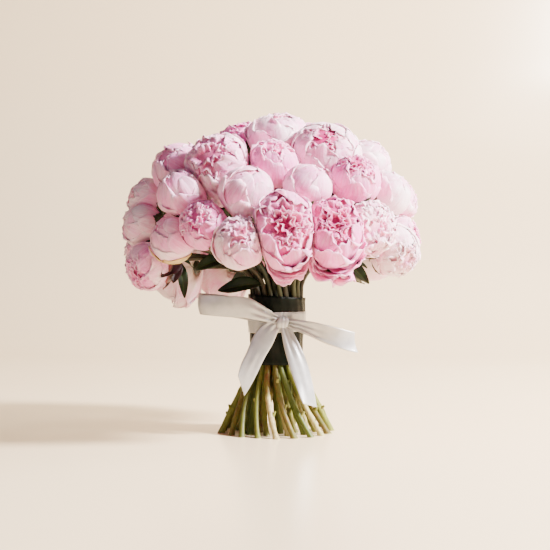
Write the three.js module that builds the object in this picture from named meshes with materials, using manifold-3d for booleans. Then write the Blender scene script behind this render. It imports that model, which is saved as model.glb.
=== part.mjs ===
// A hand-tied bunch of peonies, standing on its splayed, level-cut stems.
// Millimetres, +Z up. The origin is the middle of the central stem's cut foot. The front is -Y.
import * as THREE from "three";
import { mergeVertices } from "three/addons/utils/BufferGeometryUtils.js";
import Module from "manifold-3d";

const wasm = await Module();
wasm.setup();

// Driving dimensions
const DOME_WIDE = 150; // from the axis to the middles of the outermost blooms
const DOME_TALL = 130; // from the dome's centre up to the middle of the topmost bloom
const DOME_HEIGHT = 243; // of the dome's centre above the feet
const FACING_HEIGHT = 205; // of the point that the blooms face away from
const BLOOM_GAP = 0.4; // between blooms that press on each other
const BASE_ANGLE = 25; // degrees from a bloom's stem to the rim of its flat base
const FREE_SHARE = 0.8; // of the way to a neighbour that a petal keeps its shape
const SPIN = 47; // degrees that each bloom is turned on its axis from the one before
const LAYER_TURN = 22.5; // degrees that each layer of petals is turned on the one outside it
const LIP = 5; // degrees from a layer's tips back to where the next layer begins
const HEART_ANGLE = 166; // degrees from the stem to the rim of a bloom's heart

const STEM_RADIUS = 4;
const STEM_SIDES = 6;
const FUSED_PITCH = 6.2; // between stems that are pressed into one body in the tie
const INNER_RING = 8.5; // radii of the rings of stems in the tie
const MIDDLE_RING = 17;
const OUTER_RING = 25.3;
const FOOT_SPREAD = 70 / OUTER_RING; // how much further apart the stems are at the feet
const TOP_SPREAD = 30 / OUTER_RING; // and at the wrap's upper edge
const TIE_LOW = 84; // the stems run together between these heights and splay beyond them
const TIE_HIGH = 173;
const WAIST = 128; // the height where the stems' places in the tie are given
const FOOT_TURN = 35; // degrees that the stems spiral between the waist and their feet
const TOP_TURN = 28; // and on average between the waist and their blooms
const LEAVING_SHARE = 0.4; // of its way to the bloom that a stem keeps to its lean in the tie
const ARRIVING_SHARE = 0.35; // and that it runs along its bloom's axis
const STEM_STATIONS = [0.3, 0.65, 1]; // places of its rings on that way
const CALYX_GAP = 0.3; // between a stem's top and its bloom
const CALYX_THICK = 1.4;
const CALYX_DEEP = 4; // from the bloom to where the stem widens to its calyx
const CALYX_LONG = 13;
const CALYX_SHORT = 6.5;

const WRAP_LOW = 84.5;
const WRAP_HIGH = 169;
const WRAP_CLEAR = 5.2; // from the outer ring of stems to the wrap's inner face
const WRAP_THICK = 1.1;
const TIE_SIDES = 18; // of the wrap and the ribbon's band
const WRAP_SLANT = 2.5; // that the upper edge drops to the right

const RIBBON_WIDE = 25;
const RIBBON_THICK = 0.9;
const RIBBON_HEIGHT = 137; // of the band's middle
const RIBBON_CLEAR = 0.4; // from the wrap to the band
const BAND_TILT = 0.08; // rise of the band to the right
const KNOT = [7.4, -39.8, 137];
const KNOT_SIZE = [7.5, 6, 8.5]; // half its extents

const LEAF_THICK = 0.9;
const LEAF_STATIONS = [[0, 0.12], [0.35, 0.85], [0.7, 0.85], [1, 0.08]]; // along it, share of its width
const LEAF_FOLD = 0.16; // rise of its edges over its rib, as a share of its width
const LEAF_DROOP = 0.12; // drop of its tip, as a share of its length

// Each bloom: degrees round the bunch and up the dome, reach as a share of the dome, diameter,
// kind, and, where it is leant over, the degrees round and up that it faces instead
const BLOOMS = [
  [60, 88, 0.97, 80, "wide", -80, 82],
  [128, 63, 1.06, 62, "open"],
  [-133, 41, 0.89, 88, "cup", -125, 36],
  [-94, 51, 0.82, 63, "cup", -90, 60],
  [-30, 60, 0.92, 86, "wide", -75, 52],
  [14, 42, 1.08, 62, "ball"],
  [-41, 31, 0.95, 63, "cup"],
  [-73, 27, 0.9, 57, "ball"],
  [-15, 23, 1.02, 58, "ball"],
  [13, 19, 1.1, 60, "cup"],
  [8, -1, 1.04, 66, "open"],
  [-23, -8, 1.04, 64, "cup", -30, -5],
  [-42, 3, 0.97, 66, "open"],
  [-65, 0, 1, 72, "hanging", -70, 14],
  [-87, 1, 1, 78, "hanging", -84, 8],
  [-106, 23, 0.9, 66, "ball"],
  [-105, -5, 1.06, 61, "cup", -100, 10],
  [-124, 4, 1, 58, "cup"],
  [-144, -2, 1, 58, "ball", -150, 20],
  [-142, 21, 1, 64, "ball"],
  [-166, 37, 1.04, 68, "ball"],
  [-178, 18, 1.12, 56, "cup"],
  [-163, -15, 1.12, 60, "ball", -160, -12],
  [-170, 5, 1.12, 54, "ball"],
  [170, -6, 1.14, 62, "open"],
  [149, -16, 1.05, 72, "hanging", 152, 0],
  [120, -15, 0.98, 74, "hanging", 117, 4],
  [92, -6, 1, 78, "cup"],
  [62, -4, 1.02, 76, "open"],
  [34, -8, 1, 74, "ball"],
  [150, 19, 1.02, 76, "cup"],
  [114, 22, 1, 78, "ball"],
  [79, 20, 0.98, 76, "open"],
  [45, 22, 1, 74, "cup"],
  [50, 46, 1, 70, "ball"],
  [90, 45, 0.97, 76, "cup"],
  [127, 42, 0.98, 68, "ball"],
  [160, 44, 0.97, 70, "open"],
  [40, 67, 0.98, 66, "ball"],
  [178, 57, 0.88, 62, "ball"],
];

// The petals of each kind, from the outer layer to the inner one. A layer has its number of
// petals, the angles from the stem to its middle and to its tips, and the shares of the bloom's
// radius there. "gap" is how far the notches between its tips go down, in degrees, and "step" how
// far inside its tips the next layer begins.
const BALL_LAYERS = [
  { petals: 4, middle: [48, 85], tip: 120, wide: [0.98, 1.02], end: 0.98, gap: 22, step: 0.07 },
  { petals: 8, middle: [134], tip: 152, wide: [0.93], end: 0.93, gap: 13, step: 0.12 },
];
const CUP_LAYERS = [
  { petals: 4, middle: [48, 85], tip: 118, wide: [0.97, 1.03], end: 1.03, gap: 24, step: 0.12 },
  { petals: 8, middle: [126], tip: 147, wide: [0.91], end: 0.98, gap: 15, step: 0.2 },
];
const OPEN_LAYERS = [
  { petals: 4, middle: [52], tip: 94, wide: [0.96], end: 1.18, gap: 24, step: 0.28 },
  { petals: 8, middle: [98], tip: 122, wide: [0.92], end: 1.02, gap: 16, step: 0.18 },
  { petals: 8, middle: [132], tip: 150, wide: [0.78], end: 0.93, gap: 16, step: 0.24 },
];
// The points of one petal of a layer: place across the petal, how far it is an edge, and how far
// it stands out on every second petal, whose edges lie over its neighbours
const PETAL_POINTS = {
  4: [[0.03, 1, 0.04], [0.3, 0.1, 0.02], [0.7, 0, 0.02], [0.94, 1, 0.04]],
  8: [[0, 1, 0], [0.5, 0, 0.03]],
};
const KINDS = {
  ball: { deep: 0.93, heart: 0.8, layers: BALL_LAYERS },
  wide: { deep: 0.74, heart: 0.78, layers: BALL_LAYERS },
  cup: { deep: 0.96, heart: 0.62, layers: CUP_LAYERS },
  open: { deep: 0.88, heart: 0.45, layers: OPEN_LAYERS },
  hanging: { deep: 0.88, tall: 1.18, hang: 0.36, heart: 0.45, layers: OPEN_LAYERS },
};

// Each leaf: its bloom's row, place from the wrap (0) to the calyx (1), the degrees round and up
// that it points, length and width
const LEAVES = [
  [22, 0.84, -60, -62, 40, 12],
  [22, 0.8, -30, -20, 20, 7],
  [22, 0.88, -110, -48, 28, 18],
  [18, 0.62, -165, -8, 44, 17],
  [17, 0.55, -120, -28, 40, 16],
  [18, 0.2, -176, 2, 40, 17],
  [13, 0.72, -30, -34, 36, 15],
  [11, 0.85, -40, -30, 24, 10],
  [29, 0.6, 20, -24, 46, 16],
  [27, 0.55, 80, -22, 44, 16],
  [26, 0.5, 140, -30, 46, 17],
  [10, 0.6, -8, -20, 42, 15],
];

const deg = THREE.MathUtils.degToRad;

function heading(round, up) {
  const level = Math.cos(deg(up));
  return new THREE.Vector3(level * Math.cos(deg(round)), level * Math.sin(deg(round)), Math.sin(deg(up)));
}

function bezier(a, b, c, d, t) {
  return new THREE.CubicBezierCurve3(a, b, c, d).getPoint(t);
}

// Solids

function solidOf(points, triangles) {
  const geometry = new THREE.BufferGeometry();
  geometry.setAttribute("position", new THREE.Float32BufferAttribute(points.flatMap((p) => p.toArray()), 3));
  geometry.setIndex(triangles.flat());
  return solidOfGeometry(geometry);
}

function solidOfGeometry(geometry) {
  const bare = geometry.clone();
  bare.deleteAttribute("normal");
  bare.deleteAttribute("uv");
  const merged = mergeVertices(bare, 1e-4);
  const vertProperties = new Float32Array(merged.attributes.position.array);
  const triVerts = new Uint32Array(merged.index.array);
  return new wasm.Manifold(new wasm.Mesh({ numProp: 3, vertProperties, triVerts }));
}

const SHORTEST_EDGE = 0.15; // that a join leaves

// Joins solids to one body and drops a scrap that the join leaves
function join(solids) {
  const whole = solids.reduce((sum, solid) => sum.add(solid)).simplify(SHORTEST_EDGE);
  return whole.decompose().reduce((a, b) => (a.volume() > b.volume() ? a : b));
}

function meshOf(name, solid, material) {
  const mesh = solid.getMesh();
  const geometry = new THREE.BufferGeometry();
  geometry.setAttribute("position", new THREE.Float32BufferAttribute(mesh.vertProperties, 3));
  geometry.setIndex([...mesh.triVerts]);
  geometry.computeVertexNormals();
  const part = new THREE.Mesh(geometry, material);
  part.name = name;
  return part;
}

// A body through rings of points, closed by a flat face at each end
function loft(rings) {
  const sides = rings[0].length;
  const triangles = [];
  for (let r = 0; r + 1 < rings.length; r++) {
    for (let s = 0; s < sides; s++) {
      const a = r * sides + s;
      const b = r * sides + ((s + 1) % sides);
      triangles.push([a, b, b + sides], [a, b + sides, a + sides]);
    }
  }
  const last = (rings.length - 1) * sides;
  for (let s = 1; s + 1 < sides; s++) {
    triangles.push([0, s + 1, s], [last, last + s, last + s + 1]);
  }
  return solidOf(rings.flat(), triangles);
}

// The faces of a grid of points, outward where its rows run up and each row runs to the right
function gridTriangles(rows, columns) {
  const triangles = [];
  for (let r = 0; r + 1 < rows; r++) {
    for (let c = 0; c + 1 < columns; c++) {
      const a = r * columns + c;
      const b = a + columns;
      triangles.push([a, a + 1, b + 1], [a, b + 1, b]);
    }
  }
  return triangles;
}

function rimOf(rows, columns) {
  const rim = [];
  for (let c = 0; c < columns - 1; c++) rim.push(c);
  for (let r = 0; r < rows - 1; r++) rim.push(r * columns + columns - 1);
  for (let c = columns - 1; c > 0; c--) rim.push((rows - 1) * columns + c);
  for (let r = rows - 1; r > 0; r--) rim.push(r * columns);
  return rim;
}

// A free blade of even thickness on a grid's inner side
function blade(grid, thick) {
  const [rows, columns] = [grid.length, grid[0].length];
  const inner = grid.map((row, r) => row.map((point, c) => {
    const along = grid[Math.min(r + 1, rows - 1)][c].clone().sub(grid[Math.max(r - 1, 0)][c]);
    const across = row[Math.min(c + 1, columns - 1)].clone().sub(row[Math.max(c - 1, 0)]);
    return point.clone().addScaledVector(across.cross(along).normalize(), -thick);
  }));
  const count = rows * columns;
  const triangles = gridTriangles(rows, columns);
  for (const [a, b, c] of gridTriangles(rows, columns)) {
    triangles.push([c + count, b + count, a + count]);
  }
  const rim = rimOf(rows, columns);
  rim.forEach((a, i) => {
    const b = rim[(i + 1) % rim.length];
    triangles.push([b, a, a + count], [b, a + count, b + count]);
  });
  return solidOf([...grid.flat(), ...inner.flat()], triangles);
}

// Blooms

function layBloom([round, up, reach, across, kind, facingRound, facingUp]) {
  const out = heading(round, up);
  const centre = new THREE.Vector3(out.x * DOME_WIDE, out.y * DOME_WIDE, out.z * DOME_TALL);
  centre.multiplyScalar(reach).setZ(centre.z + DOME_HEIGHT);
  const away = centre.clone().sub(new THREE.Vector3(0, 0, FACING_HEIGHT)).normalize();
  const axis = facingUp === undefined ? away : heading(facingRound, facingUp);
  const side = new THREE.Vector3(0, 0, 1).cross(axis);
  if (side.length() < 0.2) side.set(1, 0, 0).cross(axis).negate();
  side.normalize();
  const shape = KINDS[kind];
  const radius = across / 2;
  return {
    centre,
    axis,
    side,
    rise: axis.clone().cross(side),
    radius,
    high: radius * (shape.tall ?? 1),
    deep: radius * shape.deep,
    shape,
    round,
    up,
  };
}

// How far a bloom reaches from its centre in a direction
function reachOf(bloom, out) {
  const a = out.dot(bloom.side) / bloom.radius;
  const b = out.dot(bloom.rise) / bloom.high;
  const c = out.dot(bloom.axis) / bloom.deep;
  return 1 / Math.hypot(a, b, c);
}

// The planes that part a bloom from its neighbours, each at its share of the way between them
function wallsOf(bloom, blooms) {
  return blooms.filter((other) => other !== bloom).map((other) => {
    const normal = other.centre.clone().sub(bloom.centre);
    const apart = normal.length();
    normal.normalize();
    const mine = reachOf(bloom, normal);
    const theirs = reachOf(other, normal);
    return { normal, distance: (apart * mine) / (mine + theirs) - BLOOM_GAP / 2 };
  });
}

// Presses a point back from the neighbours, the more the nearer it comes to them
function press(point, bloom) {
  const out = point.clone().sub(bloom.centre);
  const far = out.length();
  out.divideScalar(far);
  let limit = Infinity;
  for (const { normal, distance } of bloom.walls) {
    const slope = normal.dot(out);
    if (slope > 0.01) limit = Math.min(limit, distance / slope);
  }
  const free = FREE_SHARE * limit;
  if (far <= free) return point;
  const room = limit - free;
  return bloom.centre.clone().addScaledVector(out, free + room * (1 - Math.exp((free - far) / room)));
}

// A point of a bloom: degrees round its axis, degrees up from its stem, share of its radius
function bloomPoint(bloom, turn, up, share) {
  const level = Math.sin(deg(up)) * share;
  const height = Math.max(-Math.cos(deg(up)) * share, -Math.cos(deg(BASE_ANGLE)));
  const point = bloom.centre.clone();
  point.addScaledVector(bloom.side, level * Math.cos(deg(turn)) * bloom.radius);
  point.addScaledVector(bloom.rise, level * Math.sin(deg(turn)) * bloom.high);
  point.addScaledVector(bloom.axis, height * bloom.deep);
  return press(point, bloom);
}

// A ring of points round a bloom, a few for each petal of the layer
function petalRing(bloom, layer, turn, up, share, gap, hang) {
  const pitch = 360 / layer.petals;
  const ring = [];
  for (let petal = 0; petal < layer.petals; petal++) {
    const over = petal % 2 ? -1 : 1;
    for (const [place, edge, lift] of PETAL_POINTS[layer.petals]) {
      const round = turn + pitch * (petal + place);
      const down = hang * Math.max(0, -Math.sin(deg(round))) ** 2;
      ring.push(bloomPoint(bloom, round, up - gap * edge, share + lift * over + down));
    }
  }
  return ring;
}

function bloomSolid(bloom, index) {
  const { layers, heart, hang = 0 } = bloom.shape;
  const start = hang ? -90 : SPIN * index;
  const rings = [petalRing(bloom, layers[0], start, BASE_ANGLE, 1, 0, 0)];
  layers.forEach((layer, i) => {
    const turn = start + LAYER_TURN * i;
    const droop = i === 0 ? hang : 0;
    const add = (up, share, gap, drop) => rings.push(petalRing(bloom, layer, turn, up, share, gap, drop));
    layer.middle.forEach((up, m) => add(up, layer.wide[m], 0, droop / 3));
    add(layer.tip, layer.end, layer.gap, droop);
    add(layer.tip - LIP, layer.end - layer.step, layer.gap, droop / 4);
  });
  const last = layers.at(-1);
  rings.push(petalRing(bloom, last, start + LAYER_TURN * layers.length, HEART_ANGLE, heart, 0, 0));
  return loft(rings);
}

// Stems

// The places in the tie: rings of stems, each ring parted into groups that are pressed together
function layTie() {
  const places = [{ radius: 0, round: 0, group: 0 }];
  const ring = (radius, sizes, first, start) => {
    const count = sizes.reduce((sum, size) => sum + size);
    const pitch = 360 / count;
    const fused = (2 * Math.asin(FUSED_PITCH / 2 / radius) * 180) / Math.PI;
    let used = 0;
    sizes.forEach((size, g) => {
      const middle = start + pitch * (used + (size - 1) / 2);
      for (let i = 0; i < size; i++) {
        places.push({ radius, round: middle + fused * (i - (size - 1) / 2), group: first + g });
      }
      used += size;
    });
  };
  ring(INNER_RING, [2, 2, 2], 0, 0);
  for (const place of places.slice(1, 3)) place.radius = FUSED_PITCH;
  ring(MIDDLE_RING, [3, 3, 3, 2, 2], 3, 2);
  ring(OUTER_RING, Array(10).fill(2), 8, 0);
  return places;
}

// How far the stems stand apart at a height, as a multiple of the tie's narrowest place
function spreadAt(z) {
  const below = Math.max(0, (TIE_LOW - z) / TIE_LOW);
  const above = Math.max(0, (z - TIE_LOW) / (TIE_HIGH - TIE_LOW));
  return 1 + (FOOT_SPREAD - 1) * below + (TOP_SPREAD - 1) * above;
}

// A stem's place at a height in the tie or below it
function tiePoint({ radius, round }, z) {
  const spread = spreadAt(z);
  const turn = deg(round + (FOOT_TURN * (WAIST - z)) / WAIST);
  return new THREE.Vector3(Math.cos(turn) * radius * spread, Math.sin(turn) * radius * spread, z);
}

// Gives each bloom a stem: the higher it sits, the nearer the middle, then in order round the bunch
function assignStems(blooms, places) {
  const byHeight = [...blooms].sort((a, b) => b.up - a.up);
  byHeight[0].place = places[0];
  for (const [from, to] of [[1, 7], [7, 20], [20, 40]]) {
    const members = byHeight.slice(from, to);
    const slots = places.slice(from, to);
    members.sort((a, b) => a.round - b.round);
    const wanted = slots.map((slot) => slot.round - TOP_TURN);
    const cost = (shift) => members.reduce((sum, bloom, i) => {
      const off = bloom.round - wanted[(i + shift) % slots.length];
      return sum + (1 - Math.cos(deg(off)));
    }, 0);
    const shifts = slots.map((_, i) => i).sort((a, b) => cost(a) - cost(b));
    members.forEach((bloom, i) => {
      bloom.place = slots[(i + shifts[0]) % slots.length];
    });
  }
}

function calyxPoint(bloom, below) {
  return bloom.centre.clone().addScaledVector(bloom.axis, -bloom.deep * Math.cos(deg(BASE_ANGLE)) - below);
}

// A stem's middle line from the wrap's upper edge (0) to its calyx (1)
function stemPoint(bloom, t) {
  const start = tiePoint(bloom.place, TIE_HIGH);
  const lean = start.clone().sub(tiePoint(bloom.place, TIE_HIGH - 20)).normalize();
  const end = calyxPoint(bloom, CALYX_DEEP);
  const far = end.distanceTo(start);
  const first = start.clone().addScaledVector(lean, far * LEAVING_SHARE);
  const second = end.clone().addScaledVector(bloom.axis, -far * ARRIVING_SHARE);
  return bezier(start, first, second, end, t);
}

function ringRound(centre, axis, radii, side) {
  const first = side.clone().addScaledVector(axis, -side.dot(axis)).normalize();
  const second = axis.clone().cross(first);
  return radii.map((radius, s) => {
    const turn = (2 * Math.PI * s) / radii.length;
    return centre.clone()
      .addScaledVector(first, Math.cos(turn) * radius)
      .addScaledVector(second, Math.sin(turn) * radius);
  });
}

function stemSolid(bloom) {
  const round = (radius) => Array(STEM_SIDES).fill(radius);
  const up = new THREE.Vector3(0, 0, 1);
  const line = [0, TIE_LOW, TIE_HIGH].map((z) => tiePoint(bloom.place, z));
  for (const t of STEM_STATIONS) line.push(stemPoint(bloom, t));
  const rings = line.map((point, i) => {
    const along = line[Math.min(i + 1, line.length - 1)].clone().sub(line[Math.max(i - 1, 0)]).normalize();
    const axis = i < 3 ? up : i === line.length - 1 ? bloom.axis : along;
    return ringRound(point, axis, round(STEM_RADIUS), bloom.side);
  });
  const star = Array.from({ length: STEM_SIDES }, (_, s) => (s % 2 ? CALYX_SHORT : CALYX_LONG));
  for (const below of [CALYX_GAP + CALYX_THICK, CALYX_GAP]) {
    rings.push(ringRound(calyxPoint(bloom, below), bloom.axis, star, bloom.side));
  }
  return loft(rings);
}

// A leaf blade from a stem's middle line, folded a little along its rib and drooping to its tip
function leafSolid(blooms, [row, at, round, up, long, wide]) {
  const bloom = blooms[row];
  const root = stemPoint(bloom, at);
  const along = heading(round, up);
  const side = along.clone().cross(new THREE.Vector3(0, 0, 1)).normalize();
  const face = side.clone().cross(along);
  const grid = LEAF_STATIONS.map(([t, share]) => [1, 0, -1].map((across) => root.clone()
    .addScaledVector(along, long * t)
    .addScaledVector(side, (across * wide * share) / 2)
    .addScaledVector(face, wide * share * LEAF_FOLD * Math.abs(across) - long * LEAF_DROOP * t * t)));
  return blade(grid, LEAF_THICK);
}

// The wrap round the stems, a sleeve with its upper edge on a slant

// The wrap's inner radius at a height, on the cone that the stems make
function wrapRadius(z) {
  return OUTER_RING * spreadAt(Math.max(z, TIE_LOW)) + WRAP_CLEAR;
}

// A closed band round the stems from a profile of [radius, height] that runs anticlockwise
function turned(profile) {
  const points = [...profile, profile[0]].map(([radius, z]) => new THREE.Vector2(radius, z));
  const geometry = new THREE.LatheGeometry(points, TIE_SIDES);
  geometry.rotateX(Math.PI / 2);
  return geometry;
}

function wrapSolid() {
  const geometry = turned([
    [wrapRadius(WRAP_LOW), WRAP_LOW],
    [wrapRadius(WRAP_LOW) + WRAP_THICK, WRAP_LOW],
    [wrapRadius(WRAP_HIGH) + WRAP_THICK, WRAP_HIGH],
    [wrapRadius(WRAP_HIGH), WRAP_HIGH],
  ]);
  const position = geometry.attributes.position;
  for (let i = 0; i < position.count; i++) {
    if (position.getZ(i) > WAIST) {
      position.setZ(i, WRAP_HIGH - (WRAP_SLANT * position.getX(i)) / OUTER_RING);
    }
  }
  return solidOfGeometry(geometry);
}

// The ribbon

// A strip through stations of [x, y, z], the heading of its width, and the share of its width
function strip(stations) {
  const points = stations.map(([at]) => new THREE.Vector3(...at));
  const rings = stations.map(([, width, share = 1], i) => {
    const across = new THREE.Vector3(...width).normalize();
    const along = points[Math.min(i + 1, points.length - 1)].clone().sub(points[Math.max(i - 1, 0)]);
    const face = along.cross(across).normalize();
    const corner = (w, f) => points[i].clone()
      .addScaledVector(across, (w * RIBBON_WIDE * share) / 2)
      .addScaledVector(face, (f * RIBBON_THICK) / 2);
    return [corner(-1, -1), corner(1, -1), corner(1, 1), corner(-1, 1)];
  });
  return loft(rings);
}

function bandSolid() {
  const [low, high] = [RIBBON_HEIGHT - RIBBON_WIDE / 2, RIBBON_HEIGHT + RIBBON_WIDE / 2];
  const [lowRadius, highRadius] = [low, high].map((z) => wrapRadius(z) + WRAP_THICK + RIBBON_CLEAR);
  const geometry = turned([
    [lowRadius, low],
    [lowRadius + RIBBON_THICK, low],
    [highRadius + RIBBON_THICK, high],
    [highRadius, high],
  ]);
  const position = geometry.attributes.position;
  for (let i = 0; i < position.count; i++) {
    position.setZ(i, position.getZ(i) + BAND_TILT * position.getX(i));
  }
  return solidOfGeometry(geometry);
}

const UPRIGHT = [0, 0, 1];
const LEFT_LOOP = [
  [[4, -37, 138], [0.1, 0, 1], 0.4],
  [[-14, -45, 147], [0.15, -0.1, 1], 0.7],
  [[-36, -52, 155], [0.1, -0.2, 1]],
  [[-66, -53, 157], [0.05, -0.25, 1]],
  [[-88, -46, 159], [0.05, -0.1, 1]],
  [[-95, -38, 160], UPRIGHT],
  [[-86, -32, 160], UPRIGHT],
  [[-60, -32, 157], UPRIGHT],
  [[-34, -37, 150], [0.1, 0, 1], 0.8],
  [[5, -38.5, 138], [0.1, 0, 1], 0.4],
];
const RIGHT_LOOP = [
  [[9, -37, 137], [-0.3, 0, 1], 0.4],
  [[28, -46, 134], [-0.3, 0, 1], 0.6],
  [[50, -52, 127], [-0.15, -0.1, 1], 0.9],
  [[74, -52, 119], [-0.1, -0.1, 1]],
  [[91, -45, 114], [-0.05, 0, 1]],
  [[96, -37, 113], [-0.05, 0, 1]],
  [[87, -31, 115], [-0.1, 0, 1]],
  [[62, -33, 122], [-0.15, 0, 1]],
  [[36, -38, 130], [-0.2, 0, 1], 0.7],
  [[8, -38.5, 137], [-0.3, 0, 1], 0.4],
];
const LEFT_TAIL = [
  [[4, -40, 139], [1, 0, -0.3], 0.5],
  [[-7, -42, 131], [0.88, 0, -0.47], 0.8],
  [[-16, -44, 117], [0.88, 0, -0.47]],
  [[-28, -47, 93], [0.88, 0, -0.47], 0.9],
  [[-43, -49, 61], [0.3, 0, -0.95], 1.05],
];
const RIGHT_TAIL = [
  [[9, -40, 137], [1, 0, 0.2], 0.4],
  [[18, -42, 111], [0.94, 0, 0.35], 0.75],
  [[28, -45, 87], [0.94, 0, 0.35], 0.88],
  [[35, -49, 63], [0.94, 0, 0.25], 0.8],
  [[41, -54, 38], [0.93, 0, -0.36], 0.6],
];

function ribbonSolid() {
  const knot = new THREE.SphereGeometry(1, 7, 5);
  knot.scale(...KNOT_SIZE);
  knot.translate(...KNOT);
  const strips = [LEFT_LOOP, RIGHT_LOOP, LEFT_TAIL, RIGHT_TAIL].map((stations) => strip(stations));
  return join([bandSolid(), solidOfGeometry(knot), ...strips]);
}

// The whole bunch

const petalPale = new THREE.MeshStandardMaterial({ color: 0xf3d9e1, roughness: 0.75, metalness: 0 });
const petalPink = new THREE.MeshStandardMaterial({ color: 0xe7a9c4, roughness: 0.75, metalness: 0 });
const stemGreen = new THREE.MeshStandardMaterial({ color: 0x6f7a35, roughness: 0.45, metalness: 0 });
const wrapGreen = new THREE.MeshStandardMaterial({ color: 0x1d2617, roughness: 0.4, metalness: 0 });
const ribbonWhite = new THREE.MeshStandardMaterial({ color: 0xdcd4cb, roughness: 0.35, metalness: 0 });
const PINK_ROWS = [1, 3, 6, 13, 17, 18, 22, 26, 28, 32, 35];

const twoFigures = (index) => String(index + 1).padStart(2, "0");

function bunch() {
  const group = new THREE.Group();
  const blooms = BLOOMS.map(layBloom);
  for (const bloom of blooms) bloom.walls = wallsOf(bloom, blooms);
  blooms.forEach((bloom, i) => {
    const material = PINK_ROWS.includes(i) ? petalPink : petalPale;
    group.add(meshOf(`bloom_${twoFigures(i)}`, bloomSolid(bloom, i), material));
  });

  const places = layTie();
  assignStems(blooms, places);
  const groups = [];
  for (const bloom of blooms) {
    (groups[bloom.place.group] ??= []).push(stemSolid(bloom));
  }
  for (const leaf of LEAVES) {
    groups[blooms[leaf[0]].place.group].push(leafSolid(blooms, leaf));
  }
  groups.forEach((solids, i) => {
    group.add(meshOf(`stems_${twoFigures(i)}`, join(solids), stemGreen));
  });

  group.add(meshOf("stem_wrap", wrapSolid(), wrapGreen));
  group.add(meshOf("ribbon", ribbonSolid(), ribbonWhite));
  return group;
}

export default bunch();
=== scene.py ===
import math

import bpy
import numpy as np
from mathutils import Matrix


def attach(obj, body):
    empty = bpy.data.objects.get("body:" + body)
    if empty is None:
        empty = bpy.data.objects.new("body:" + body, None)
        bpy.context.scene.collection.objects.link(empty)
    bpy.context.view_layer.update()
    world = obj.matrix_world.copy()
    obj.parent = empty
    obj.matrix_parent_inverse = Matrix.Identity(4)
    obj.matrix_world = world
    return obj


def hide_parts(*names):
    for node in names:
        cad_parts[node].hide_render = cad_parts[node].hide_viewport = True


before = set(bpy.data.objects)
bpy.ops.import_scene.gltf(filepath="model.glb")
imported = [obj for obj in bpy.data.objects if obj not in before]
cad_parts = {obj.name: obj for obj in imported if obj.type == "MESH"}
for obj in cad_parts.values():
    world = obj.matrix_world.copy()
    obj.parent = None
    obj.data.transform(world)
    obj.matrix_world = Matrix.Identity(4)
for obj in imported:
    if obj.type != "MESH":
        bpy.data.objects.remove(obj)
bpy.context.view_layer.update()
bpy.ops.object.select_all(action="DESELECT")
print("frame loaded with", len(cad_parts), "nodes")


# the camera, the floor and the sky: lengths in metres, the lens in mm and tones from 0 to 255
studio = {
    "eye": (-0.002, -1.433, 0.195),
    "lens": 75,
    "floorNear": -3.0,
    "floorFar": 1.3,
    "coveRadius": 0.9,
    "backdropTop": 3.6,
    "halfWidth": 4.0,
    "floorTone": (227, 205, 166),
    "skyTone": (234, 226, 238),
    "skyStrength": 0.19,
}

# each light: its place and what it's aimed at, width, power in watts and colour
lights = {
    "key": ((1.92, -0.58, 1.62), (0, 0, 0.22), 0.42, 500, (255, 249, 247)),
    "fill": ((-1.6, -1.5, 0.9), (0, 0, 0.22), 1.6, 7, (208, 202, 255)),
    "backdropLight": ((1.6, 0.5, 1.6), (-0.2, 2.2, 0.7), 1.4, 104, (255, 243, 228)),
}


def tone(red, green, blue):
    # a screen colour, 0 to 255, as the linear colour that a shader takes
    parts = [part / 255 for part in (red, green, blue)]
    return tuple(p / 12.92 if p <= 0.04045 else ((p + 0.055) / 1.055) ** 2.4 for p in parts) + (1,)


def aimed(place, target):
    # the turn that points an object's -Z from one place at another
    away = np.subtract(target, place)
    level = math.hypot(away[0], away[1])
    return (math.atan2(level, -away[2]), 0, math.atan2(away[1], away[0]) - math.pi / 2)


def setStudio():
    bpy.ops.object.camera_add(location=studio["eye"], rotation=(math.pi / 2, 0, 0))
    camera = bpy.context.object
    camera.data.lens = studio["lens"]
    camera.data.sensor_width = 36
    bpy.context.scene.camera = camera
    for name, (place, target, size, power, colour) in lights.items():
        bpy.ops.object.light_add(type="AREA", location=place, rotation=aimed(place, target))
        light = bpy.context.object
        light.name = name
        light.data.size = size
        light.data.energy = power
        light.data.color = tone(*colour)[:3]
    world = bpy.data.worlds.new("sky")
    world.use_nodes = True
    sky = world.node_tree.nodes["Background"]
    sky.inputs["Color"].default_value = tone(*studio["skyTone"])
    sky.inputs["Strength"].default_value = studio["skyStrength"]
    bpy.context.scene.world = world


def sumOf(operation):
    return lambda one, other: one.work(operation, one, other)


class Signal:
    # a socket that takes part in sums
    def __init__(self, tree, socket):
        self.tree = tree
        self.socket = socket

    def work(self, operation, *values):
        node = self.tree.nodes.new("ShaderNodeMath")
        node.operation = operation
        for place, value in enumerate(values):
            plug(self.tree, node.inputs[place], value)
        return Signal(self.tree, node.outputs[0])

    __add__ = __radd__ = sumOf("ADD")
    __sub__ = sumOf("SUBTRACT")
    __mul__ = __rmul__ = sumOf("MULTIPLY")
    __truediv__ = sumOf("DIVIDE")
    __pow__ = sumOf("POWER")

    def __rsub__(self, other):
        return self.work("SUBTRACT", other, self)

    def clamped(self):
        return self.work("MAXIMUM", self.work("MINIMUM", self, 1.0), 0.0)

    def between(self, low, high):
        # 0 at low, 1 at high
        return ((self - low) / (high - low)).clamped()


def plug(tree, socket, value):
    if isinstance(value, Signal):
        tree.links.new(value.socket, socket)
    else:
        socket.default_value = value


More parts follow.
